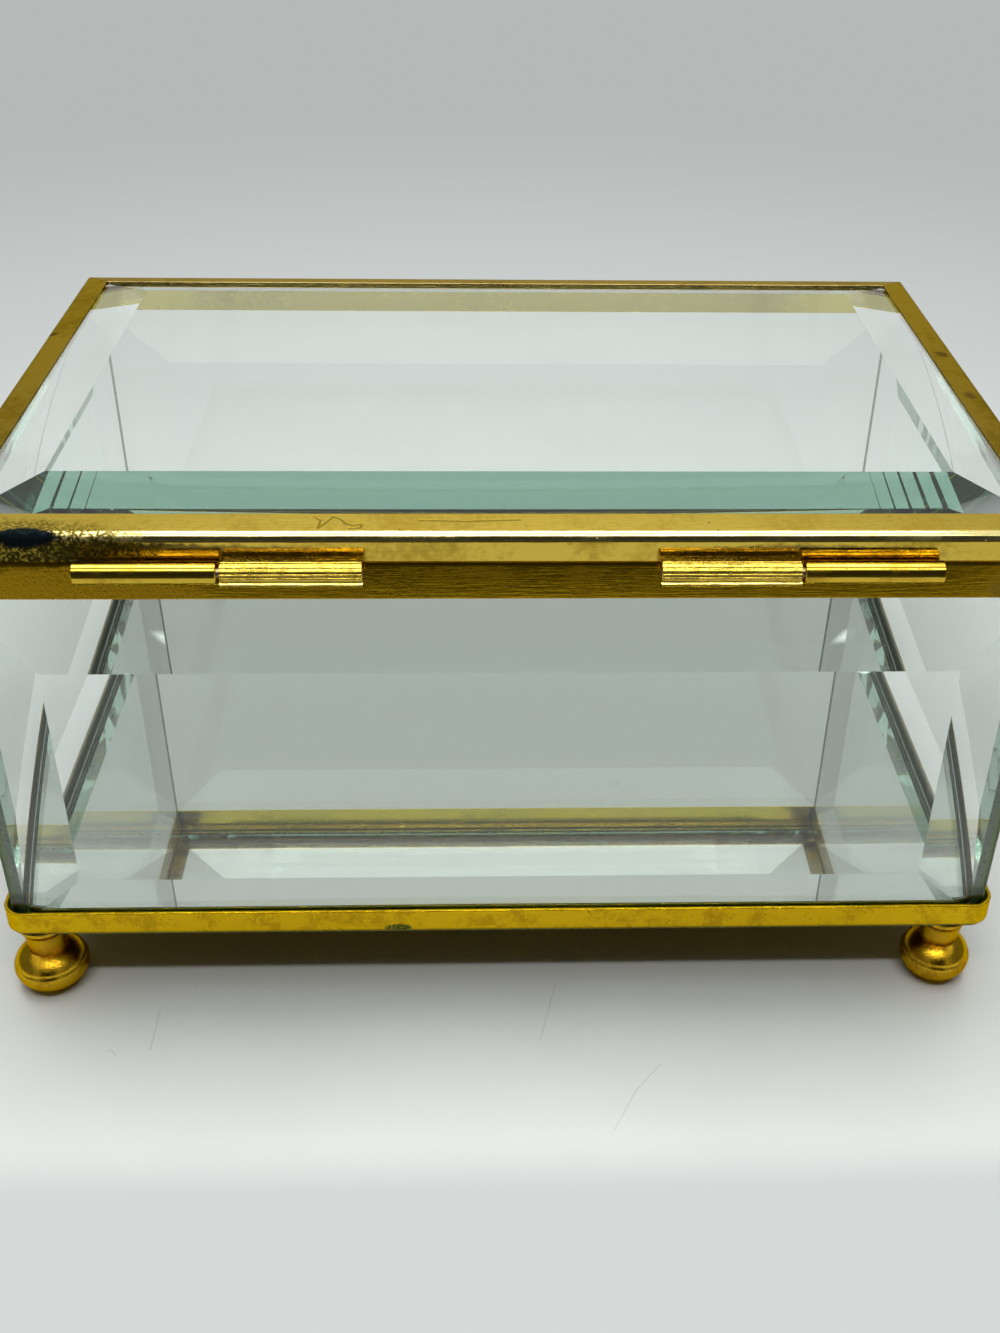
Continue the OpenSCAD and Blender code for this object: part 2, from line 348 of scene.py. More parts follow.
def clear_glass(name, ground=(), scratches=()):
    """Glass that is clear through its thickness and green along its length.

    ground is a list of (axis, low, high): the faces at these two ends of the axis are ground and dull with
    old cement. scratches is a list of lines through points.
    """
    s = finish(name)
    edge = 0.0
    for axis, low, high in ground:
        along = s.axes(s.place())["XYZ".index(axis)]
        at_high = along.ramp((high - 0.1) * MM, (high - 0.05) * MM)
        at_low = 1 - along.ramp((low + 0.05) * MM, (low + 0.1) * MM)
        edge = at_high + at_low + edge
    scratch = s.strokes(scratches, 0.3) if scratches else 0.0
    colour = rgb(1, 1, 1)
    if ground:
        edge = edge.at_most(1)
        colour = s.blend(edge, colour, rgb(0.1, 0.19, 0.012))
    absorbed = s.node(
        "ShaderNodeVolumeAbsorption", None, {"Color": rgb(*GLASS_TINT), "Density": GLASS_DENSITY}
    )
    s.surface(
        {
            "Base Color": colour,
            "Roughness": edge * 0.45 + scratch * 0.3,
            "Metallic": edge,
            "IOR": 1.52,
            "Transmission Weight": 1.0,
        },
        absorbed,
    )
    return s.owner


def silvering():
    """The silver on the back of the mirror, with a faint foxing."""
    s = finish("mirror_silver")
    fox = s.clouds(6, 5, 0.7).ramp(0.66, 0.8)
    s.surface({
        "Base Color": s.blend(fox * 0.3, rgb(0.77, 0.8, 0.75), rgb(0.48, 0.46, 0.38)),
        "Metallic": 1.0,
        "Roughness": fox * 0.1 + 0.01,
    })
    return s.owner


def cement(name, clean, under_colour, clearness):
    """Cement that has gone a little grey, with small bubbles."""
    s = finish(name)
    bubbles = 1 - s.cells(0.7).ramp(0.1, 0.3)
    s.surface({
        "Base Color": s.blend(bubbles * 0.5, rgb(*clean), rgb(*under_colour)),
        "Roughness": s.clouds(1.0).ramp(0.3, 0.7) * 0.3 + 0.2,
        "IOR": 1.5,
        "Transmission Weight": clearness,
    })
    return s.owner


def card():
    """Grey-brown packing card."""
    s = finish("pad_card")
    fibres = s.clouds(0.5, 4, 0.7, (0.3, 1, 1))
    s.surface({
        "Base Color": s.blend(fibres, rgb(0.16, 0.13, 0.09), rgb(0.3, 0.26, 0.19)),
        "Roughness": 0.85,
        "Normal": s.bump(fibres, 0.05),
    })
    return s.owner


def steel():
    """Drawn wire of the hinge pins."""
    s = finish("pin_steel")
    lines = s.clouds(0.3, 3, 0.6, (0.1, 1, 1))
    s.surface({
        "Base Color": s.blend(lines, rgb(0.33, 0.31, 0.28), rgb(0.55, 0.53, 0.48)),
        "Metallic": 1.0,
        "Roughness": lines * 0.15 + 0.3,
    })
    return s.owner


# ---------------------------------------------------------------- meshes

def piece(name, points, faces, material, body, stands_for=(), sharp_deg=32):
    """A mesh in metres that rides on a body and stands for CAD nodes."""
    mesh = bpy.data.meshes.new(name)
    mesh.from_pydata([tuple(p) for p in points], [], faces)
    tidy = bmesh.new()
    tidy.from_mesh(mesh)
    bmesh.ops.remove_doubles(tidy, verts=tidy.verts, dist=1e-7)
    bmesh.ops.recalc_face_normals(tidy, faces=tidy.faces)
    tidy.to_mesh(mesh)
    tidy.free()
    for face in mesh.polygons:
        face.use_smooth = True
    mesh.set_sharp_from_angle(angle=math.radians(sharp_deg))
    mesh.materials.append(material)
    made = bpy.data.objects.new(name, mesh)
    bpy.context.scene.collection.objects.link(made)
    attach(made, body)
    for node in stands_for:
        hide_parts(node)
    return made


def rounded(corners, steps=6):
    """The closed outline through corners (x, y, radius), each rounded by an arc."""
    outline = []
    for i, (x, y, r) in enumerate(corners):
        here = Vector((x, y))
        before = (Vector(corners[i - 1][:2]) - here).normalized()
        after = (Vector(corners[(i + 1) % len(corners)][:2]) - here).normalized()
        if r <= 0:
            outline.append((x, y))
            continue
        half = before.angle(after) / 2
        centre = here + (before + after).normalized() * (r / math.sin(half))
        start = here + before * (r / math.tan(half)) - centre
        end = here + after * (r / math.tan(half)) - centre
        turn = math.atan2(start.x * end.y - start.y * end.x, start.dot(end))
        for k in range(steps + 1):
            spoke = Matrix.Rotation(turn * k / steps, 2) @ start
            outline.append(tuple(centre + spoke))
    return outline


def held(outline, near=0.12, long=0.7):
    """The outline in millimetres with a point close to both ends of each long edge, to keep flats flat."""
    points = []
    for i, start in enumerate(outline):
        end = outline[(i + 1) % len(outline)]
        points.append(start)
        length = math.hypot(end[0] - start[0], end[1] - start[1])
        if length > long:
            for share in (near / length, 1 - near / length):
                points.append((
                    start[0] + (end[0] - start[0]) * share,
                    start[1] + (end[1] - start[1]) * share,
                ))
    return points


def tube_faces(rings, ring, closed):
    """Faces that join rings of points one after another."""
    faces = []
    for i in range(rings if closed else rings - 1):
        a, b = i * ring, (i + 1) % rings * ring
        for j in range(ring):
            k = (j + 1) % ring
            faces.append((a + j, a + k, b + k, b + j))
    return faces


def hand_waviness(point, seed, size_mm, depth_mm):
    """A slow wander of a surface that was bent by hand."""
    return noise.noise(Vector(point) / (size_mm * MM) + Vector((seed, 0, 0))) * depth_mm * MM


# ---------------------------------------------------------------- brass strips

def angle_outline(height, width, rise, bend_r):
    """Section of an angle strip: depth from the outer face, height from the lower edge."""
    return held(rounded([
        (0, 0, STRIP_EDGE_R),
        (0, height, bend_r),
        (width, height + rise, STRIP_LIP_R),
        (width, height + rise - STRIP_T, STRIP_EDGE_R),
        (STRIP_T, height - STRIP_T + rise * STRIP_T / width, bend_r - STRIP_T),
        (STRIP_T, 0, STRIP_EDGE_R),
    ]))


def mitred_strip(name, node, side, rise, bend_r, material, body, seed, lean_mm=0.0):
    """An angle strip along one side, mitred at both ends, that stands for a CAD node.

    Its outer face leans back at the top by lean_mm.
    """
    stations = 60
    turned = Matrix.Rotation(math.radians(SIDES[side]), 3, "Z")
    low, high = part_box(node)
    span = high - low
    run = max(span.x, span.y)
    flange_w = min(span.x, span.y)
    outer = max(abs(low.y), abs(high.y)) if span.x > span.y else max(abs(low.x), abs(high.x))
    section_h = span.z / MM - rise
    section = angle_outline(section_h, flange_w / MM, rise, bend_r)
    knee = section_h - bend_r
    points = []
    for i in range(stations + 1):
        along = 2 * i / stations - 1
        for depth, height in section:
            x = along * (run / 2 - (depth + MITRE_SEAM) * MM)
            y = -outer + depth * MM
            z = low.z + height * MM
            from_knee = math.hypot(depth - bend_r, height - knee)
            on_bend = height > knee and from_knee > bend_r - STRIP_T / 2
            sag = 0.0
            if depth < STRIP_T / 2 or on_bend:
                sag = abs(hand_waviness((x, 0, z * 0.3), seed, 26, 0.05))
                sag += lean_mm * MM * min(1, height / knee)
                sag *= max(0, 1 - depth / bend_r)
            points.append(turned @ Vector((x, y + sag, z)))
    ring = len(section)
    faces = tube_faces(stations + 1, ring, False)
    faces.append(tuple(range(ring)))
    faces.append(tuple(stations * ring + j for j in range(ring)))
    return piece(name, points, faces, material, body, [node])


# ---------------------------------------------------------------- tray

def pressed_tray(material):
    """The tray: a sheet with a lip bent up all round, and rounded corners."""
    low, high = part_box("base_tray")
    core_x = high.x - TRAY_CORNER_R * MM
    core_y = high.y - TRAY_CORNER_R * MM
    lip = (high.z - low.z) / MM
    reach = TRAY_CORNER_R
    section = held([(0.0, TRAY_T), (0.0, 0.0)] + rounded([
        (reach, 0, TRAY_BEND_R),
        (reach, lip, TRAY_LIP_R),
        (reach - TRAY_T, lip, TRAY_LIP_R),
        (reach - TRAY_T, TRAY_T, TRAY_BEND_R - TRAY_T),
    ]))
    inner, outer = section.index((0.0, TRAY_T)), section.index((0.0, 0.0))
    per_corner, per_side = 14, 40
    stations = []
    for quarter, (cx, cy) in enumerate([(1, -1), (1, 1), (-1, 1), (-1, -1)]):
        corner = Vector((cx * core_x, cy * core_y, 0))
        first = quarter * 90 - 90
        for i in range(per_corner + 1):
            a = math.radians(first + 90 * i / per_corner)
            stations.append((corner, Vector((math.cos(a), math.sin(a), 0))))
        outward = stations[-1][1]
        ahead = [(1, 1), (-1, 1), (-1, -1), (1, -1)][quarter]
        next_corner = Vector((ahead[0] * core_x, ahead[1] * core_y, 0))
        for i in range(1, per_side):
            stations.append((corner.lerp(next_corner, i / per_side), outward))
    points = []
    for base, outward in stations:
        for out, height in section:
            spot = base + outward * (out * MM)
            lean = 0.0
            if out > reach - TRAY_T - 0.1 and height > TRAY_BEND_R:
                share = (height - TRAY_BEND_R) / (lip - TRAY_BEND_R)
                lean = abs(hand_waviness((spot.x, spot.y, 0), 4.0, 30, 0.16)) * share
            points.append(spot - outward * lean + Vector((0, 0, low.z + height * MM)))
    ring = len(section)
    faces = tube_faces(len(stations), ring, True)
    faces.append(tuple(i * ring + inner for i in range(len(stations))))
    faces.append(tuple(i * ring + outer for i in range(len(stations))))
    return piece("pressed_tray", points, faces, material, "body", ["base_tray"], 40)


# ---------------------------------------------------------------- hinges

def rib_tree():
    """Geometry Nodes: a ring of thin rods, laid side by side along X round an axis."""
    tree = bpy.data.node_groups.new("barrel_ribs", "GeometryNodeTree")
    sockets = {}
    for name, kind in (("Count", "NodeSocketInt"), ("Ring Radius", "NodeSocketFloat"),
                       ("Rib Radius", "NodeSocketFloat"), ("Length", "NodeSocketFloat"),
                       ("Centre", "NodeSocketVector"), ("Finish", "NodeSocketMaterial")):
        sockets[name] = tree.interface.new_socket(name, in_out="INPUT", socket_type=kind).identifier
    tree.interface.new_socket("Ribs", in_out="OUTPUT", socket_type="NodeSocketGeometry")

    def add(kind, settings=(), **links):
        made = tree.nodes.new(kind)
        for key, value in dict(settings).items():
            setattr(made, key, value)
        for key, value in links.items():
            socket = made.inputs[key.replace("_", " ")]
            if isinstance(value, bpy.types.NodeSocket):
                tree.links.new(value, socket)
            else:
                socket.default_value = value
        return made

    given = add("NodeGroupInput").outputs
    ring = add("GeometryNodeMeshCircle", Vertices=given["Count"], Radius=given["Ring Radius"])
    rod = add(
        "GeometryNodeMeshCylinder", Vertices=10, Radius=given["Rib Radius"], Depth=given["Length"]
    )
    wander = add("FunctionNodeRandomValue", {"data_type": "FLOAT"}, Seed=11)
    wander.inputs[2].default_value, wander.inputs[3].default_value = 0.82, 1.0
    laid = add("GeometryNodeInstanceOnPoints", Points=ring.outputs["Mesh"], Instance=rod.outputs["Mesh"])
    spread = add("GeometryNodeScaleInstances", Instances=laid.outputs["Instances"])
    size = add("ShaderNodeCombineXYZ", X=wander.outputs[1], Y=wander.outputs[1], Z=1.0)
    tree.links.new(size.outputs["Vector"], spread.inputs["Scale"])
    placed = add("GeometryNodeTransform", Geometry=spread.outputs["Instances"],
                 Rotation=(0.0, math.pi / 2, 0.0), Translation=given["Centre"])
    whole = add("GeometryNodeRealizeInstances", Geometry=placed.outputs["Geometry"])
    coated = add("GeometryNodeSetMaterial", Geometry=whole.outputs["Geometry"], Material=given["Finish"])
    smooth = add("GeometryNodeSetShadeSmooth", Geometry=coated.outputs["Geometry"])
    out = add("NodeGroupOutput")
    tree.links.new(smooth.outputs[0], out.inputs[0])
    return tree, sockets


def barrel_ribs(node, axis, tube_r, material, tree, sockets):
    """The fine ribs round a lid barrel, a little shorter than the barrel."""
    low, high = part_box(node)
    holder = bpy.data.objects.new("ribs_" + node, bpy.data.meshes.new("ribs_" + node))
    bpy.context.scene.collection.objects.link(holder)
    ribs = holder.modifiers.new("ribs", "NODES")
    ribs.node_group = tree
    middle = Vector(((low.x + high.x) / 2, axis.y, axis.z))
    for name, value in (
        ("Count", RIB_COUNT),
        ("Ring Radius", (tube_r - RIB_R) * MM),
        ("Rib Radius", RIB_R * MM),
        ("Length", high.x - low.x - 0.3 * MM),
        ("Centre", middle),
        ("Finish", material),
    ):
        ribs[sockets[name]] = value
    bpy.context.view_layer.update()
    depsgraph = bpy.context.evaluated_depsgraph_get()
    baked = bpy.data.meshes.new_from_object(holder.evaluated_get(depsgraph))
    bpy.data.objects.remove(holder)
    points = [v.co.copy() for v in baked.vertices]
    faces = [tuple(face.vertices) for face in baked.polygons]
    bpy.data.meshes.remove(baked)
    piece("ribs_" + node, points, faces, material, "lid", (), 50)


def barrel(node, body, axis, tail, ribbed, material):
    """A knuckle rolled from strip: a tube with a slit, and the tail that is soldered on."""
    low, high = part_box(node)
    tube_r = (high.z - axis.z) / MM - (RIB_SINK if ribbed else 0.0)
    face_out = (high.y - axis.y) / MM
    tail_low, tail_high = tail
    first = math.asin(min(1.0, tail_high / tube_r))
    last = 2 * math.pi + math.asin(tail_low / tube_r)
    slit = last - 0.5 if ribbed else first + 0.5
    steps = 110
    outline = []
    for i in range(steps + 1):
        a = first + (last - first) * i / steps
        r = tube_r
        if abs(a - slit) < 0.05:
            r -= 0.22
        outline.append((r * math.cos(a), r * math.sin(a)))
    outline += [(face_out, tail_low), (face_out, tail_high)]
    length = (high.x - low.x) / MM
    between = [length * k / 24 for k in range(1, 24)]
    stations = [0.0, BARREL_CHAMFER] + between + [length - BARREL_CHAMFER, length]
    points = []
    for n, along in enumerate(stations):
        pinch = BARREL_CHAMFER if n in (0, len(stations) - 1) else 0.0
        for out, rise in outline:
            reach = math.hypot(out, rise)
            keep = (reach - pinch) / reach if reach <= tube_r + 0.01 else 1.0
            points.append(Vector((
                low.x + along * MM,
                axis.y + out * keep * MM,
                axis.z + rise * keep * MM,
            )))
    ring = len(outline)
    faces = tube_faces(len(stations), ring, False)
    bores = []
    for along in (0.0, length):
        bores.append(len(points))
        for out, rise in outline:
            a = math.atan2(rise, out)
            points.append(Vector((
                low.x + along * MM,
                axis.y + BARREL_BORE_D / 2 * math.cos(a) * MM,
                axis.z + BARREL_BORE_D / 2 * math.sin(a) * MM,
            )))
    near, far = bores
    end = (len(stations) - 1) * ring
    for i in range(ring):
        k = (i + 1) % ring
        faces.append((i, k, near + k, near + i))
        faces.append((end + i, end + k, far + k, far + i))
        faces.append((near + i, near + k, far + k, far + i))
    piece("rolled_" + node, points, faces, material, body, [node], 38)


def stop_lip(node, axis, material):
    """The turned lip under a lid barrel that meets the rim when the lid is open."""
    low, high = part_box(node)
    tube_r = (high.z - axis.z) / MM
    face_out = (high.y - axis.y) / MM
    root, tip, half = tube_r - 0.45, tube_r + STOP_REACH, STOP_T / 2
    contact = math.acos(face_out / tip) + math.asin(half / tip)
    lean = -(contact + math.radians(STOP_ANGLE))
    section = rounded([
        (root, -half, 0.05), (tip, -half, 0.12), (tip, half, 0.12), (root, half, 0.05)
    ])
    points = []
    for x in (low.x, high.x):
        for out, thick in section:
            y = axis.y + (out * math.cos(lean) - thick * math.sin(lean)) * MM
            z = axis.z + (out * math.sin(lean) + thick * math.cos(lean)) * MM
            points.append(Vector((x, y, z)))
    ring = len(section)
    faces = tube_faces(2, ring, False)
    faces.append(tuple(range(ring)))
    faces.append(tuple(ring + j for j in range(ring)))
    piece("stop_lip_" + node, points, faces, material, "lid")


# ---------------------------------------------------------------- feet

def ball_foot(node, material, size):
    """A turned foot: a collar and a neck over a grooved, flattened ball, with a fillet of solder."""
    low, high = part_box(node)
    centre = (low + high) / 2
    ball_r = (high.x - low.x) / 2 / MM
    height = (high.z - low.z) / MM
    waist = NECK_R * 0.86
    start = math.asin(BALL_FLAT_R / ball_r)
    drop = BALL_H / 2 * math.cos(start)
    profile = [(0.0, 0.0), (BALL_FLAT_R, 0.0)]
    steps = 44
    stop = math.pi - math.asin(waist / ball_r)
    for i in range(steps + 1):
        a = start + (stop - start) * i / steps
        groove = 1 - GROOVE_DEPTH * math.exp(-(((a - GROOVE_AT) / GROOVE_WIDTH) ** 2))
        profile.append((
            ball_r * size * groove * math.sin(a),
            drop - BALL_H / 2 * groove * math.cos(a),
        ))
    ball_top = profile[-1][1]
    profile += [
        (waist, ball_top + 0.5),
        (NECK_R * 0.9, ball_top + 1.6),
        (NECK_R * 0.96, height - 2.6),
        (NECK_R * 1.0, height - 1.9),
        (NECK_R * 1.08, height - 1.7),
        (NECK_R * 1.1, height - 1.3),
        (NECK_R * 1.08, height - 0.9),
        (NECK_R * 1.04, height - 0.6),
        (NECK_R * 1.16, height - 0.12),
        (NECK_R * 1.3, height),
        (0.0, height),
    ]
    spokes = 72
    points = []
    for k in range(spokes):
        a = 2 * math.pi * k / spokes
        for r, z in profile:
            points.append(Vector((
                centre.x + r * math.cos(a) * MM,
                centre.y + r * math.sin(a) * MM,
                low.z + z * MM,
            )))
    ring = len(profile)
    faces = []
    for k in range(spokes):
        a, b = k * ring, (k + 1) % spokes * ring
        for j in range(ring - 1):
            faces.append((a + j, b + j, b + j + 1, a + j + 1))
    return piece("turned_" + node, points, faces, material, "body", [node], 50)


# ---------------------------------------------------------------- mirror

def arrised_plate(low, high, arris):
    """Points and faces of a plate whose edges are all ground off by arris."""
    points = []
    for z, inset in ((low.z, arris), (low.z + arris, 0), (high.z - arris, 0), (high.z, arris)):
        left, right = low.x + inset, high.x - inset
        near, far = low.y + inset, high.y - inset
        corners = [(left, near), (right, near), (right, far), (left, far)]
        for i, (x, y) in enumerate(corners):
            px, py = corners[i - 1]
            nx, ny = corners[(i + 1) % 4]
            for tx, ty in ((px, py), (nx, ny)):
                step = arris / math.hypot(tx - x, ty - y)
                points.append(Vector((x + (tx - x) * step, y + (ty - y) * step, z)))
    ring = 8
    faces = tube_faces(4, ring, False)
    faces.append(tuple(range(ring)))
    faces.append(tuple(3 * ring + j for j in range(ring)))
    return points, faces


def mirror_plate(glass, silver):
    """Plate glass with ground edges, and the silvered sheet on its back."""
    low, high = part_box("mirror_floor")
    coat = 0.05 * MM
    lift = Vector((0, 0, 2 * coat))
    points, faces = arrised_plate(low + lift, high, 0.25 * MM)
    piece("mirror_glass", points, faces, glass, "body", ["mirror_floor"], 20)
    inset = Vector((0.3 * MM, 0.3 * MM, 0))
    bottom = low + inset + lift * 0.25
    top = Vector((high.x, high.y, low.z)) - inset + lift * 0.9
    points, faces = arrised_plate(bottom, top, 0.01 * MM)
    piece("mirror_silver", points, faces, silver, "body")


def lid_glass(glass):
    """The lid's glass: the solid's own faces, merged, with its underside shifted by LID_GLASS_TRIM."""
    node = frame["nodes"]["lid_pane"]
    low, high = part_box("lid_pane")
    points = [Vector(v.co) for v in node.data.vertices]
    for point in points:
        if point.z < low.z + 0.01 * MM:
            point.z += LID_GLASS_TRIM * MM
    faces = [tuple(face.vertices) for face in node.data.polygons]
    return piece("lid_glass", points, faces, glass, "lid", ["lid_pane"], 5)


# ---------------------------------------------------------------- the box

HINGE_AXIS = Vector(frame["joints"][0]["pos_m"])
TUBE_R = (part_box("rim_barrel_left")[1].z - HINGE_AXIS.z) / MM

PANE_LOW, PANE_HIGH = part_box("rear_pane")
SIDE_PANE_LOW, SIDE_PANE_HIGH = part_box("left_pane")
GROUND_FOOT = ("Z", PANE_LOW.z / MM, PANE_HIGH.z / MM)
LONG_GLASS = clear_glass(
    "long_wall_glass",
    ground=[GROUND_FOOT, ("X", PANE_LOW.x / MM, PANE_HIGH.x / MM)],
)
SHORT_GLASS = clear_glass(
    "short_wall_glass",
    ground=[GROUND_FOOT, ("Y", SIDE_PANE_LOW.y / MM, SIDE_PANE_HIGH.y / MM)],
)
LID_GLASS = clear_glass(
    "lid_glass",
    scratches=[
        [(-46, -43.4, 92.2), (-33.8, -44, 92.1), (-15.2, -44.1, 92.1), (19.9, -44.1, 92.1),
         (34.3, -44, 92.1), (50.3, -43.5, 92.2)],
        [(49.5, -43, 92.3), (50.4, -42.2, 92.5), (51.2, -41.7, 92.6)],
        [(-28.4, -46.6, 91.5), (-28, -46.6, 91.5)],
        [(-23.4, -46.7, 91.5), (-23, -47, 91.5)],
        [(35.7, -42.5, 92.4), (36.2, -42.5, 92.4)],
    ],
)
MIRROR_LOW, MIRROR_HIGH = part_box("mirror_floor")
MIRROR_GLASS = clear_glass(
    "mirror_glass",
    ground=[
        ("X", MIRROR_LOW.x / MM, MIRROR_HIGH.x / MM),
        ("Y", MIRROR_LOW.y / MM, MIRROR_HIGH.y / MM),
    ],
)
RIM_BRASS = brass("rim_brass", (0.7, 0.52, 0.1), (0.46, 0.31, 0.05), 0.16)
# The front rim's brass is a brighter copy of the rim brass, painted light; its blot paints a bright yellow
# band along the rim's inner face, a painted highlight. The rougher, satin finish is its own.
FRONT_RIM_BRASS_LIT = brass(
    "front_rim_brass_lit", (0.85, 0.65, 0.14), (0.62, 0.44, 0.07), 0.26,
    blots=[((0, 53.9, 82.4), (400, 0.4, 4), (0.92, 0.7, 0.03), 0.14, 0)],
)
# The rear rim's brass is a darker copy of the rim brass: painted shade, standing for the dark that its face
# reflects. Its two blots are crusted patches, browner on the left and darker on the right.
REAR_RIM_BRASS_SHADED = brass(
    "rear_rim_brass_shaded", (0.5, 0.3, 0.01), (0.34, 0.185, 0.006), 0.09, 9, 0.48, 0.02, 0.8,
    blots=[
        ((-62, -54.6, 82), (22, 2, 4), (0.5, 0.28, 0.012), 0.3, 0.6),
        ((78, -54.6, 82), (9, 2, 4), (0.3, 0.19, 0.02), 0.36, 0.4),
    ],
)
# The brass of the lid's side and far strips is a darker, duller copy of the lid brass: painted shade. Its
# blots are small dark crusted spots.
SIDE_BRASS_SHADED = brass(
    "side_brass_shaded", (0.39, 0.28, 0.1), (0.23, 0.155, 0.045), 0.16,
    blots=[
        ((-81.5, 21.9, 91), (1.3, 1.0, 1.5), (0.05, 0.03, 0.01), 0.5, 0.5),
        ((79.8, 13.2, 91), (1.5, 1.4, 1.5), (0.1, 0.06, 0.01), 0.5, 0.5),
        ((79.6, -5.6, 91), (1.2, 1.6, 1.5), (0.12, 0.08, 0.02), 0.5, 0.5),
    ],
)
# The colour of the brown patches on the lid's flank above the lid barrels: a painted reflection of the
# barrels.
PAINTED_BARREL_REFLECTION = (0.26, 0.18, 0.035)
LID_BRASS = brass(
    "lid_brass", (0.75, 0.53, 0.075), (0.56, 0.37, 0.04), 0.07,
    blots=[
        # A pale band along the bend: a painted highlight.
        ((0, -54, 90.3), (400, 0.9, 0.9), (0.9, 0.76, 0.32), 0.1, 0),
        # A dark patch on the flank above the left rim barrel: painted shade.
        ((-51.5, -54.4, 87.4), (14, 1.2, 2.2), (0.06, 0.042, 0.01), 0.1, 0.1),
        # Painted reflections of the two lid barrels on the flank above them.
        ((-40, -54.4, 87.2), (22, 1, 1.9), PAINTED_BARREL_REFLECTION, 0.08, 0.2),
        ((42, -54.4, 87.2), (22, 1, 1.9), PAINTED_BARREL_REFLECTION, 0.08, 0.2),
        ((-70, -53.6, 89), (21, 4.6, 3.6), (0.15, 0.11, 0.012), 0.45, 0.85),
        ((-68, -54.6, 88.2), (22, 1.6, 2.8), (0.06, 0.048, 0.008), 0.45, 0.5),
        ((-67, -53.9, 89.9), (5.2, 1.8, 1.7), (0.008, 0.014, 0.017), 0.4, 0),
    ],
    scratches=[
        [(-27.1, -49.9, 91), (-26.1, -50.8, 91), (-26.3, -52.7, 90.8), (-25.3, -51.5, 91),
         (-24.3, -50, 91.1), (-23.2, -50.6, 91), (-22.3, -51.8, 91)],
        [(-22.7, -51.5, 91), (-21.5, -52.1, 90.9), (-20.2, -51.8, 90.9), (-20.3, -52.6, 90.8),
         (-21.9, -52.8, 90.8)],
        [(-12, -50.9, 91), (-5, -51.1, 91), (2.2, -50.8, 91)],
    ],
    sheen=(1.0, 0.95, 0.8),
)
TRAY_LOW, TRAY_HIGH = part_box("base_tray")
TRAY_SKIN = Vector((TRAY_SKIN_T, TRAY_SKIN_T, 0.4)) * MM
TRAY_BRASS = brass(
    "tray_brass", (0.63, 0.39, 0.008), (0.44, 0.26, 0.008), 0.22, 4, 0.44, 0.05, 0.8,
    blots=[((-17.5, -55, 16.4), (2.5, 0.9, 0.9), (0.05, 0.1, 0.025), 0.7, 0.5)],
    # The tray's underside is near black: painted shade under the tray.
    darker_below=(14.56, 0.1, (0.05, 0.03, 0.01)),
    cemented=(TRAY_LOW + TRAY_SKIN, TRAY_HIGH - TRAY_SKIN, (TRAY_CORNER_R - TRAY_SKIN_T) * MM),
)
BARREL_BRASS = brass(
    "barrel_brass", (0.67, 0.45, 0.05), (0.44, 0.27, 0.025), 0.08, 5,
    # The barrels are darker below 84.6 mm.
    darker_below=(84.6, 0.3, (0.36, 0.26, 0.06)),
)
RIBBED_BRASS = brass(
    "ribbed_brass", (0.72, 0.51, 0.08), (0.38, 0.26, 0.03), 0.16, 2, 0.46, 0.09, 0.5
)
FOOT_BRASS = brass(
    "foot_brass", (0.62, 0.37, 0.018), (0.4, 0.21, 0.012), 0.16, 4, 0.44, 0.06, 0.9,
    blots=[
        ((-77.8, -55.3, 8.6), (2.2, 1.6, 1.5), (0.8, 0.22, 0.02), 0.2, 0.2),
        ((-77.1, -55.3, 8.3), (0.5, 0.8, 0.4), (0.03, 0.02, 0.01), 0.5, 0),
    ],
)

PAD_CARD = card()
BEAD_CEMENT = cement("clear_cement", (0.86, 0.94, 0.9), (0.7, 0.78, 0.74), 0.85)
SEAM_CEMENT = cement("seam_cement", (0.07, 0.15, 0.045), (0.13, 0.24, 0.085), 0.15)
PIN_STEEL = steel()

# The first beginning that fits a node's name gives its finish; brass stands on those that pieces replace.
NODE_FINISHES = {
    "floor_pad": PAD_CARD,
    "lid_bead": BEAD_CEMENT,
    "joint_": SEAM_CEMENT,
    "hinge_pin": PIN_STEEL,
    "rear_pane": LONG_GLASS,
    "front_pane": LONG_GLASS,
    "left_pane": SHORT_GLASS,
    "right_pane": SHORT_GLASS,
    "lid_pane": SHORT_GLASS,
    "": RIM_BRASS,
}
for name, node in frame["nodes"].items():
    material = next(given for start, given in NODE_FINISHES.items() if name.startswith(start))
    for material_slot in node.material_slots:
        material_slot.material = material

for number, side in enumerate(SIDES):
    rim_brass = {"rear": REAR_RIM_BRASS_SHADED, "front": FRONT_RIM_BRASS_LIT}.get(side, RIM_BRASS)
    lid_brass = LID_BRASS if side == "rear" else SIDE_BRASS_SHADED
    mitred_strip(
        "rim_strip_" + side, "rim_" + side, side, 0, RIM_BEND_R,
        rim_brass, "body", seed=3.1 * number, lean_mm=RIM_LEAN,
    )
    mitred_strip(
        "lid_strip_" + side, "lid_frame_" + side, side, LID_RISE, LID_BEND_R,
        lid_brass, "lid", seed=7.3 + 2.9 * number,
    )
pressed_tray(TRAY_BRASS)
RIB_TREE, RIB_SOCKETS = rib_tree()
for side in ("left", "right"):
    barrel("rim_barrel_" + side, "body", HINGE_AXIS, RIM_TAIL, False, BARREL_BRASS)
    barrel("lid_barrel_" + side, "lid", HINGE_AXIS, LID_TAIL, True, RIBBED_BRASS)
    barrel_ribs("lid_barrel_" + side, HINGE_AXIS, TUBE_R, RIBBED_BRASS, RIB_TREE, RIB_SOCKETS)
    stop_lip("lid_barrel_" + side, HINGE_AXIS, BARREL_BRASS)
    for row in ("rear", "front"):
        ball_foot("foot_" + row + "_" + side, FOOT_BRASS, BALL_SIZE[side])
mirror_plate(MIRROR_GLASS, silvering())
lid_glass(LID_GLASS)


# ---------------------------------------------------------------- studio

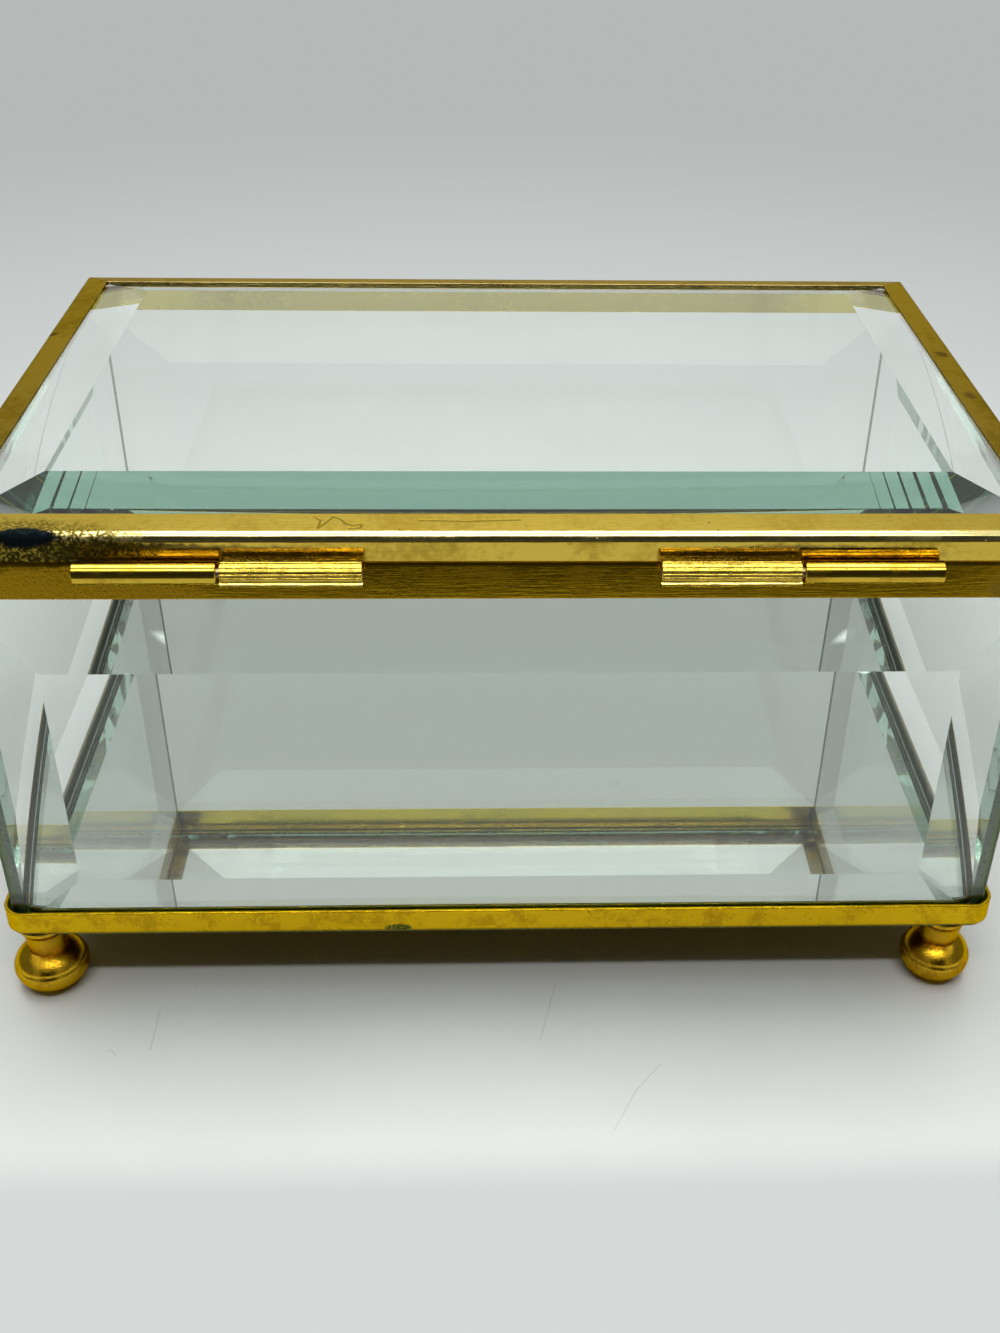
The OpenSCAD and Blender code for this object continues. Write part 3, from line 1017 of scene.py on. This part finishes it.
def studio_floor():
    """White cloth, flat, with a few creases painted on as darker lines of painted shade; far off and in front
    of the box it glows, dimmer with distance, as a painted backdrop, and glossy rays see it end in black at
    the mouth of the tent.
    """
    s = finish("studio_floor")
    x, y, z = s.axes(s.place())
    path = s.node("ShaderNodeLightPath")
    # Darker lines along the cloth's creases, painted shade, and a few short marks.
    painted_crease_shade = s.strokes([
        [(-58.8, -57.3, 0), (-58.8, -66.2, 0)],
        [(9.2, -52.5, 0), (6.2, -65.1, 0)],
        [(25.9, -70.8, 0), (21.5, -76, 0), (17.4, -83.8, 0)],
        [(-60.9, -101.3, 0), (-51.2, -106.4, 0)],
        [(-9.9, -94.5, 0), (-1.7, -113, 0)],
        [(-53.6, -52.2, 0), (-53.3, -52.3, 0)],
        [(-41, -52.5, 0), (-40.7, -52.5, 0)],
        [(-66, -66.6, 0), (-65.4, -66.1, 0), (-64.3, -67.3, 0)],
    ], 0.22)
    wear_and_crease_shade = s.clouds(30, 3).ramp(0.35, 0.7) * 0.06 + painted_crease_shade * 0.3
    cloth = s.blend(wear_and_crease_shade, rgb(0.84, 0.865, 0.845), rgb(0.5, 0.49, 0.47))
    mouth = (1 - y.ramp(-0.25, -0.225)) * (1 - (x.size() + y * 0.5).ramp(0, 0.08))
    outside = path["Is Glossy Ray"] * mouth
    skin = s.node("ShaderNodeBsdfPrincipled", None, {
        "Base Color": s.blend(outside, cloth, rgb(0.05, 0.05, 0.05)),
        "Roughness": 0.8,
        "Specular IOR Level": 0.2,
    })
    # Far off, and in front of the box past its shadow, the cloth glows for all but diffuse rays instead of
    # being lit, dimmer with distance: a painted backdrop.
    away = (x * x + y * y) ** 0.5
    glow_colour = rgb(0.95, 1.0, 0.985)
    brightness = 0.7 - away.ramp(0.1, 0.6) * 0.21
    glow = s.node("ShaderNodeEmission", None, {"Color": glow_colour, "Strength": brightness})
    open_cloth = away.ramp(0.14, 0.3).at_least(1 - y.ramp(-0.096, -0.084))
    far = open_cloth * (1 - path["Is Diffuse Ray"]) * (1 - outside)
    both = s.node("ShaderNodeMixShader", None, {0: far, 1: skin[0], 2: glow[0]})
    s.node("ShaderNodeOutputMaterial", None, {"Surface": both[0]})
    size = 6.0
    mesh = bpy.data.meshes.new("studio_floor")
    corners = [(-size, -size, 0), (size, -size, 0), (size, size, 0), (-size, size, 0)]
    mesh.from_pydata(corners, [], [(0, 1, 2, 3)])
    mesh.materials.append(s.owner)
    floor = bpy.data.objects.new("studio_floor", mesh)
    bpy.context.scene.collection.objects.link(floor)


def studio_world():
    """A light tent with a bright roof, a pale back, dim sides, a row of lamps and an open front."""
    world = bpy.data.worlds.new("tent")
    bpy.context.scene.world = world
    s = Shader(world)
    x, y, z = s.axes(s.node("ShaderNodeTexCoord")["Generated"])
    path = s.node("ShaderNodeLightPath")
    seen = path["Is Camera Ray"]
    through = path["Is Transmission Ray"] * (1 - seen)
    scattered = path["Is Diffuse Ray"]
    pale = 0.56 + z.ramp(0.1, 0.42) * 0.1 - z.ramp(0.46, 0.58) * 0.12
    back = y.ramp(-0.25, 0.35)
    sides = x.size().ramp(0.3, 0.75)
    roof = z.ramp(0.665, 0.73)
    mouth = (1 - back) * (1 - x.size().ramp(0.32, 0.5)) * (1 - through)
    around = pale * (1 - sides * 0.7) * (1 - mouth) + mouth * 0.03
    forward = y.at_least(0.05)
    row = 1 - (z / forward - 1.11).size().ramp(0.004, 0.02)
    along = x / forward * 40
    spot = 1 - along.maths("PINGPONG", along, 0.5).ramp(0.08, 0.32)
    tent = around * (1 - roof) + roof * 0.9 + row * spot * 1.2
    ambient = z.ramp(0.8, 0.95) * 1.6
    level = tent * (1 - seen) * (1 - scattered) + ambient * scattered + pale * seen
    background = s.node(
        "ShaderNodeBackground", None, {"Color": rgb(0.97, 1.0, 0.99), "Strength": level}
    )
    s.node("ShaderNodeOutputWorld", None, {"Surface": background[0]})


def studio_lamp(name, place, aim, size, power):
    """A rectangular lamp at place that looks at aim; metres and watts."""
    data = bpy.data.lights.new(name, "AREA")
    data.shape = "RECTANGLE"
    data.size, data.size_y = size
    data.energy = power
    lamp = bpy.data.objects.new(name, data)
    lamp.location = place
    lamp.rotation_euler = (Vector(aim) - Vector(place)).to_track_quat("-Z", "Y").to_euler()
    bpy.context.scene.collection.objects.link(lamp)


def camera():
    """Pinhole camera at the front of the tent, looking down on the hinge side."""
    focal_px, frame_px, off_centre_px = 1462.7, 1333, 38.1
    pitch, yaw, roll = 0.5848, -0.041, 0.019
    place = Vector((-0.0024, -0.2358, 0.1886))
    data = bpy.data.cameras.new("camera")
    data.sensor_width = 36
    data.lens = focal_px * data.sensor_width / frame_px
    data.shift_x = -off_centre_px / frame_px
    data.clip_start = 0.01
    made = bpy.data.objects.new("camera", data)
    bpy.context.scene.collection.objects.link(made)
    ahead = Vector((0, math.cos(pitch), -math.sin(pitch)))
    right = Vector((1, 0, 0))
    down = ahead.cross(right)
    turn = Matrix.Rotation(yaw, 3, "Z")
    ahead, right, down = turn @ ahead, turn @ right, turn @ down
    rolled_right = right * math.cos(roll) - down * math.sin(roll)
    rolled_down = right * math.sin(roll) + down * math.cos(roll)
    made.matrix_world = Matrix((
        (rolled_right.x, -rolled_down.x, -ahead.x, place.x),
        (rolled_right.y, -rolled_down.y, -ahead.y, place.y),
        (rolled_right.z, -rolled_down.z, -ahead.z, place.z),
        (0, 0, 0, 1),
    ))
    bpy.context.scene.camera = made


studio_floor()
studio_world()
studio_lamp("roof_lamp", (0, 0.06, 0.7), (0, 0, 0), (0.5, 0.25), 2.6)
studio_lamp("near_strip", (0, -0.34, 0.6), (0, -0.05, 0), (0.5, 0.03), 0.9)
camera()
# Light passes many faces of glass on its way through the box.
light_paths = bpy.context.scene.cycles
light_paths.max_bounces = 40
light_paths.glossy_bounces = 30
light_paths.transmission_bounces = 20
bpy.context.scene.view_settings.view_transform = "Standard"
